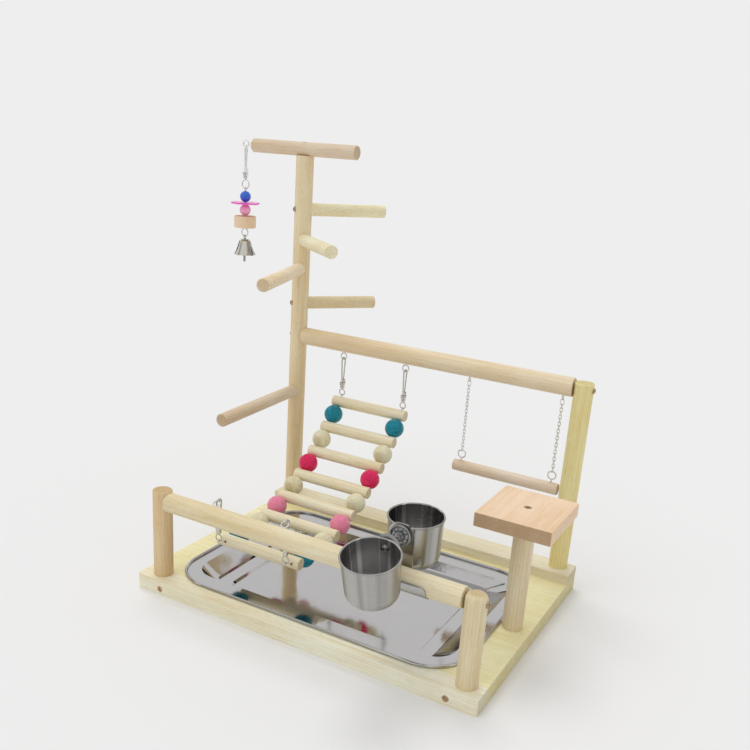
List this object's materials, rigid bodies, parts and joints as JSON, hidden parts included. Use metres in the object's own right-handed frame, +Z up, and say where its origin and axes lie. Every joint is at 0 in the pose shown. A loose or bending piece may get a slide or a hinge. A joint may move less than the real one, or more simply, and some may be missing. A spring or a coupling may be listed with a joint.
{
  "type": "parrot play stand",
  "caption": "Table-top wooden perch stand for parrots with side perches, swing, bead ladder, hanging toy, feeding cups and a lift-out steel tray.",
  "frame": {"origin": "centre of the base's rectangular underside", "axes": "+Z up, +X to the right along the front edge seen from the front, +Y to the back"},
  "size_m": [0.6058, 0.5023, 0.5603],
  "materials": {
    "pine": "satin, bare pine",
    "beech": "sanded, bare",
    "tray_steel": "bright, near mirror",
    "cup_steel": "brushed outside, bright rim",
    "zinc": "bright zinc plate",
    "nickel": "nickel plate",
    "bronze": "yellow passivated screw",
    "teal_paint": "stained wood",
    "crimson_paint": "stained wood",
    "pink_paint": "stained wood",
    "blue_paint": "painted wood",
    "hot_pink_plastic": "glossy"
  },
  "bodies": {
    "stand": {"base_panel": "pine", "front_batten": "pine", "back_batten": "pine", "wood_screws": "bronze", "tall_post": "beech", "right_back_post": "beech", "front_left_post": "beech", "front_right_post": "beech", "platform_post": "beech", "platform_block": "beech", "top_perch": "beech", "side_perch_1": "beech", "side_perch_2": "beech", "side_perch_3": "beech", "side_perch_4": "beech", "side_perch_5": "beech", "long_perch": "beech", "front_perch": "beech", "swing_eyes": "zinc", "ladder_eyes": "zinc", "toy_eye": "zinc", "cup_saddle": "cup_steel"},
    "tray": {"tray": "tray_steel"},
    "swing_chains": {"swing_chains": "zinc"},
    "swing_bar": {"swing_bar": "beech", "swing_bar_eyes": "zinc"},
    "ladder": {"ladder_wires": "zinc", "ladder_rungs": "beech", "teal_beads": "teal_paint", "natural_beads": "beech", "crimson_beads": "crimson_paint", "pink_beads": "pink_paint"},
    "ladder_hook_1": {"ladder_hook_1": "zinc", "ladder_hook_ring_1": "zinc"},
    "ladder_hook_2": {"ladder_hook_2": "zinc", "ladder_hook_ring_2": "zinc"},
    "ladder_hook_3": {"ladder_hook_3": "zinc", "ladder_hook_ring_3": "zinc"},
    "ladder_hook_4": {"ladder_hook_4": "zinc", "ladder_hook_ring_4": "zinc"},
    "ladder_gate_1": {"ladder_gate_1": "zinc"},
    "ladder_gate_2": {"ladder_gate_2": "zinc"},
    "ladder_gate_3": {"ladder_gate_3": "zinc"},
    "ladder_gate_4": {"ladder_gate_4": "zinc"},
    "toy_hook": {"toy_hook": "zinc"},
    "toy_gate": {"toy_gate": "zinc"},
    "toy_ring": {"toy_ring": "zinc"},
    "toy_string": {"toy_wire": "zinc"},
    "blue_bead": {"blue_bead": "blue_paint"},
    "flower_washer": {"flower_washer": "hot_pink_plastic"},
    "pink_bead": {"pink_bead": "hot_pink_plastic"},
    "wood_disc": {"wood_disc": "beech"},
    "bell": {"bell": "nickel"},
    "bell_clapper": {"bell_clapper": "nickel"},
    "front_cup": {"front_cup": "cup_steel", "front_cup_bolt": "zinc"},
    "rear_cup": {"rear_cup": "cup_steel", "rear_cup_bolt": "zinc"},
    "front_rosette": {"front_rosette": "zinc"},
    "rear_rosette": {"rear_rosette": "zinc"}
  },
  "joints": [
    {"name": "tray_lift", "type": "slide", "parent": "stand", "child": "tray", "axis": [0, 0, 1], "range_m": [0, 0.03]},
    {"name": "swing_hang", "type": "hinge", "parent": "stand", "child": "swing_chains", "pos_m": [0.126, 0.1576, 0.2676], "axis": [1, 0, 0], "range_deg": [-40, 40]},
    {"name": "swing_bar_tilt", "type": "hinge", "parent": "swing_chains", "child": "swing_bar", "pos_m": [0.126, 0.1576, 0.1665], "axis": [1, 0, 0], "range_deg": [-40, 40]},
    {"name": "ladder_sway", "type": "hinge", "parent": "stand", "child": "ladder_hook_1", "pos_m": [-0.1395, 0.1576, 0.2641], "axis": [0, 1, 0], "range_deg": [-8, 8]},
    {"name": "ladder_hang", "type": "hinge", "parent": "ladder_hook_1", "child": "ladder", "pos_m": [-0.1395, 0.1576, 0.2071], "axis": [0, 1, 0], "range_deg": [-8, 8]},
    {"name": "ladder_hook_2_sway", "type": "hinge", "parent": "stand", "child": "ladder_hook_2", "pos_m": [-0.0375, 0.1576, 0.2641], "axis": [0, 1, 0], "range_deg": [-8, 8]},
    {"name": "ladder_hook_3_sway", "type": "hinge", "parent": "stand", "child": "ladder_hook_3", "pos_m": [-0.1395, -0.13133, 0.13704], "axis": [0, 1, 0], "range_deg": [-8, 8]},
    {"name": "ladder_hook_4_sway", "type": "hinge", "parent": "stand", "child": "ladder_hook_4", "pos_m": [-0.0375, -0.13133, 0.13704], "axis": [0, 1, 0], "range_deg": [-8, 8]},
    {"name": "ladder_gate_1_open", "type": "hinge", "parent": "ladder_hook_1", "child": "ladder_gate_1", "pos_m": [-0.1395, 0.15977, 0.23009], "axis": [1, 0, 0], "range_deg": [0, 13], "stiffness_Nm_per_rad": 0.01, "springref_deg": -17.19},
    {"name": "ladder_gate_2_open", "type": "hinge", "parent": "ladder_hook_2", "child": "ladder_gate_2", "pos_m": [-0.0375, 0.15977, 0.23009], "axis": [1, 0, 0], "range_deg": [0, 13], "stiffness_Nm_per_rad": 0.01, "springref_deg": -17.19},
    {"name": "ladder_gate_3_open", "type": "hinge", "parent": "ladder_hook_3", "child": "ladder_gate_3", "pos_m": [-0.1395, -0.12915, 0.10303], "axis": [1, 0, 0], "range_deg": [0, 13], "stiffness_Nm_per_rad": 0.01, "springref_deg": -17.19},
    {"name": "ladder_gate_4_open", "type": "hinge", "parent": "ladder_hook_4", "child": "ladder_gate_4", "pos_m": [-0.0375, -0.12915, 0.10303], "axis": [1, 0, 0], "range_deg": [0, 13], "stiffness_Nm_per_rad": 0.01, "springref_deg": -17.19},
    {"name": "toy_swing", "type": "hinge", "parent": "stand", "child": "toy_hook", "pos_m": [-0.3235, 0.1576, 0.5496], "axis": [0, 1, 0], "range_deg": [-8, 60]},
    {"name": "toy_gate_open", "type": "hinge", "parent": "toy_hook", "child": "toy_gate", "pos_m": [-0.32424, 0.15964, 0.51558], "axis": [0.9397, 0.342, 0], "range_deg": [0, 13], "stiffness_Nm_per_rad": 0.01, "springref_deg": -17.19},
    {"name": "toy_swivel", "type": "hinge", "parent": "toy_hook", "child": "toy_ring", "pos_m": [-0.3235, 0.1576, 0.505], "axis": [0, 0, 1], "continuous": true},
    {"name": "toy_string_swing", "type": "hinge", "parent": "toy_ring", "child": "toy_string", "pos_m": [-0.3235, 0.1576, 0.489], "axis": [1, 0, 0], "range_deg": [-25, 25]},
    {"name": "blue_bead_spin", "type": "hinge", "parent": "toy_string", "child": "blue_bead", "pos_m": [-0.3235, 0.1576, 0.4775], "axis": [0, 0, 1], "continuous": true},
    {"name": "flower_washer_spin", "type": "hinge", "parent": "toy_string", "child": "flower_washer", "pos_m": [-0.3235, 0.1576, 0.4681], "axis": [0, 0, 1], "continuous": true},
    {"name": "pink_bead_spin", "type": "hinge", "parent": "toy_string", "child": "pink_bead", "pos_m": [-0.3235, 0.1576, 0.4582], "axis": [0, 0, 1], "continuous": true},
    {"name": "wood_disc_spin", "type": "hinge", "parent": "toy_string", "child": "wood_disc", "pos_m": [-0.3235, 0.1576, 0.441], "axis": [0, 0, 1], "continuous": true},
    {"name": "bell_swing", "type": "hinge", "parent": "toy_string", "child": "bell", "pos_m": [-0.3235, 0.1576, 0.4198], "axis": [1, 0, 0], "range_deg": [-40, 40]},
    {"name": "clapper_swing", "type": "hinge", "parent": "bell", "child": "bell_clapper", "pos_m": [-0.3235, 0.1576, 0.4099], "axis": [1, 0, 0], "range_deg": [-18, 18]},
    {"name": "front_cup_turn", "type": "hinge", "parent": "stand", "child": "front_cup", "pos_m": [0.1195, -0.17644, 0.16744], "axis": [0, -0.9781, -0.2079], "range_deg": [-90, 90]},
    {"name": "front_rosette_turn", "type": "hinge", "parent": "front_cup", "child": "front_rosette", "pos_m": [0.1195, -0.17644, 0.16744], "axis": [0, -0.9781, -0.2079], "continuous": true},
    {"name": "rear_cup_turn", "type": "hinge", "parent": "stand", "child": "rear_cup", "pos_m": [0.1195, -0.14076, 0.16839], "axis": [0, 0.999, 0.0454], "range_deg": [-90, 90]},
    {"name": "rear_rosette_turn", "type": "hinge", "parent": "rear_cup", "child": "rear_rosette", "pos_m": [0.1195, -0.14076, 0.16839], "axis": [0, 0.999, 0.0454], "continuous": true}
  ],
  "couplings": [
    {"joint": "ladder_hang", "follows": "ladder_sway", "ratio": -1},
    {"joint": "ladder_hook_2_sway", "follows": "ladder_sway", "ratio": 1},
    {"joint": "ladder_hook_3_sway", "follows": "ladder_sway", "ratio": 1},
    {"joint": "ladder_hook_4_sway", "follows": "ladder_sway", "ratio": 1}
  ]
}
